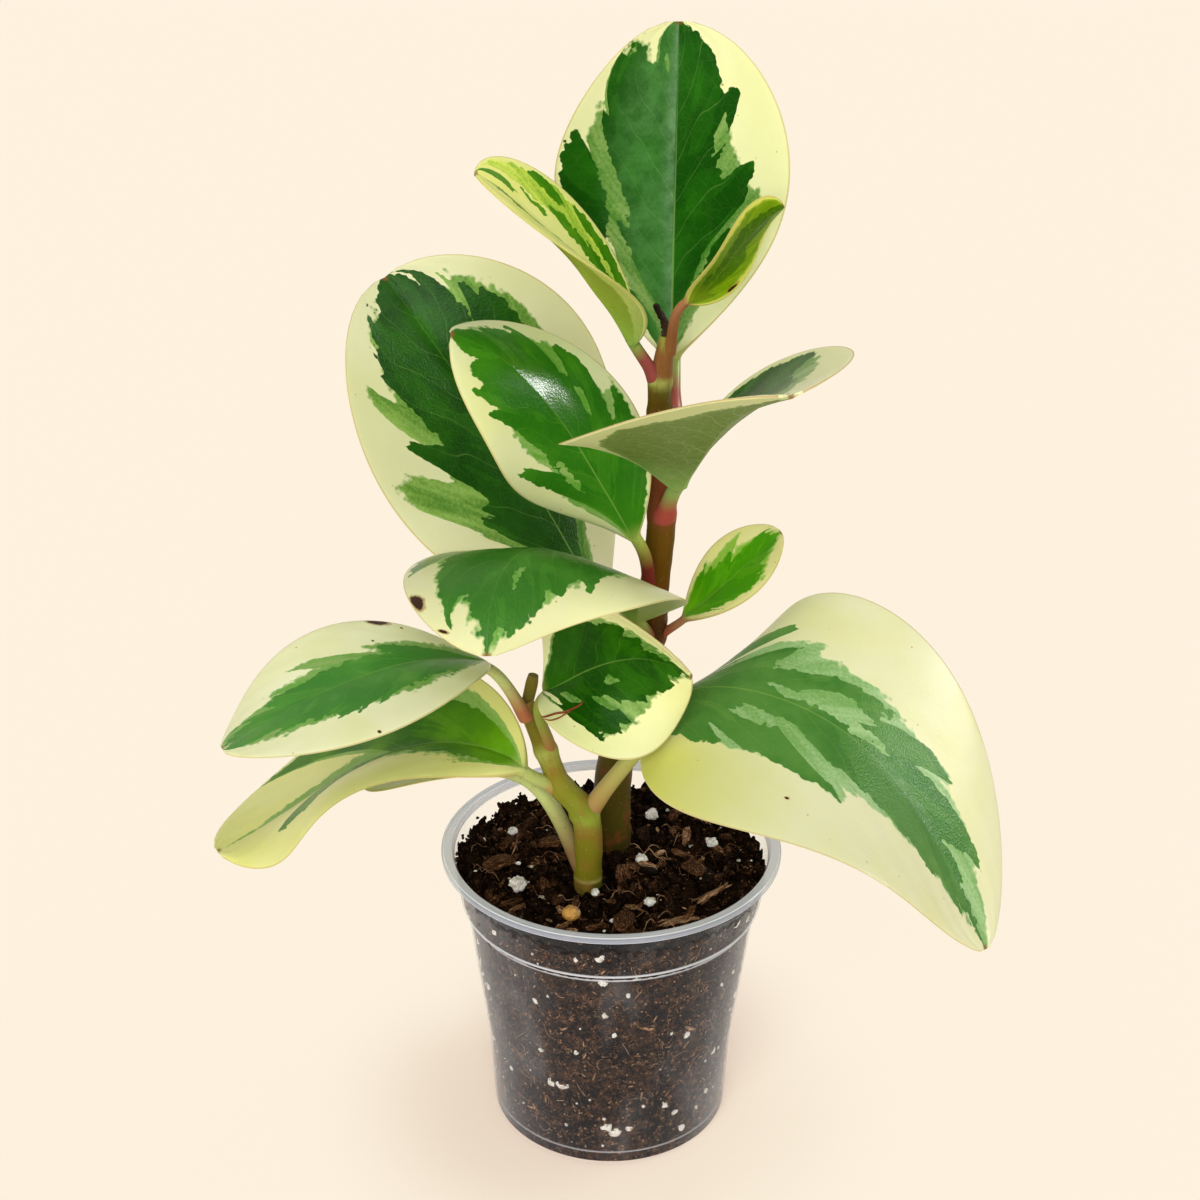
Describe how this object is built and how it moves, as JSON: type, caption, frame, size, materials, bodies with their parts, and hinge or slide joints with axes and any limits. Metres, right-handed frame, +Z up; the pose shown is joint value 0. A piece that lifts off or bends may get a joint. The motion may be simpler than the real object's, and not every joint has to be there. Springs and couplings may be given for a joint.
{
  "type": "potted baby rubber plant",
  "caption": "Variegated baby rubber plant with glossy cream and green leaves on two stems, growing in a clear round nursery pot filled with soil.",
  "frame": {"origin": "centre of the pot's underside, on the surface that it stands on", "axes": "+Z up along the pot's axis, -Y towards the front, +X to the right seen from the front"},
  "size_m": [0.2013, 0.1191, 0.2908],
  "materials": {
    "clear_plastic": "clear, slightly milky, gloss",
    "soil": "damp crumbly peat and bark",
    "stem_olive": "satin",
    "stem_green": "satin",
    "variegated_leaf": "waxy gloss, cream margins round a jagged green centre",
    "dry_bud": "dry",
    "perlite": "chalky",
    "bark": "rough",
    "wood": "fibrous",
    "amber": "satin"
  },
  "bodies": {
    "root": {"clear_pot": "clear_plastic", "potting_soil": "soil", "main_stem": "stem_olive", "front_stem": "stem_green", "front_bud": "stem_green", "withered_bud": "dry_bud", "leaf_crown_large": "variegated_leaf", "leaf_crown_left": "variegated_leaf", "leaf_crown_right": "variegated_leaf", "leaf_back_left": "variegated_leaf", "leaf_mid_left": "variegated_leaf", "leaf_right_cupped": "variegated_leaf", "leaf_center_arching": "variegated_leaf", "leaf_low_left": "variegated_leaf", "leaf_low_wavy": "variegated_leaf", "leaf_low_right": "variegated_leaf", "leaf_low_center": "variegated_leaf", "leaf_small_right": "variegated_leaf", "leaf_low_hidden": "variegated_leaf", "perlite_left": "perlite", "perlite_back_right": "perlite", "perlite_right": "perlite", "perlite_centre": "perlite", "perlite_front_right": "perlite", "perlite_front": "perlite", "perlite_back_left": "perlite", "bark_chip_left": "bark", "bark_chip_back": "bark", "bark_chip_front": "bark", "bark_chip_right": "bark", "bark_chip_middle": "bark", "wood_sliver_right": "wood", "wood_sliver_front": "wood", "wood_sliver_back": "wood", "amber_granule": "amber"}
  },
  "joints": []
}
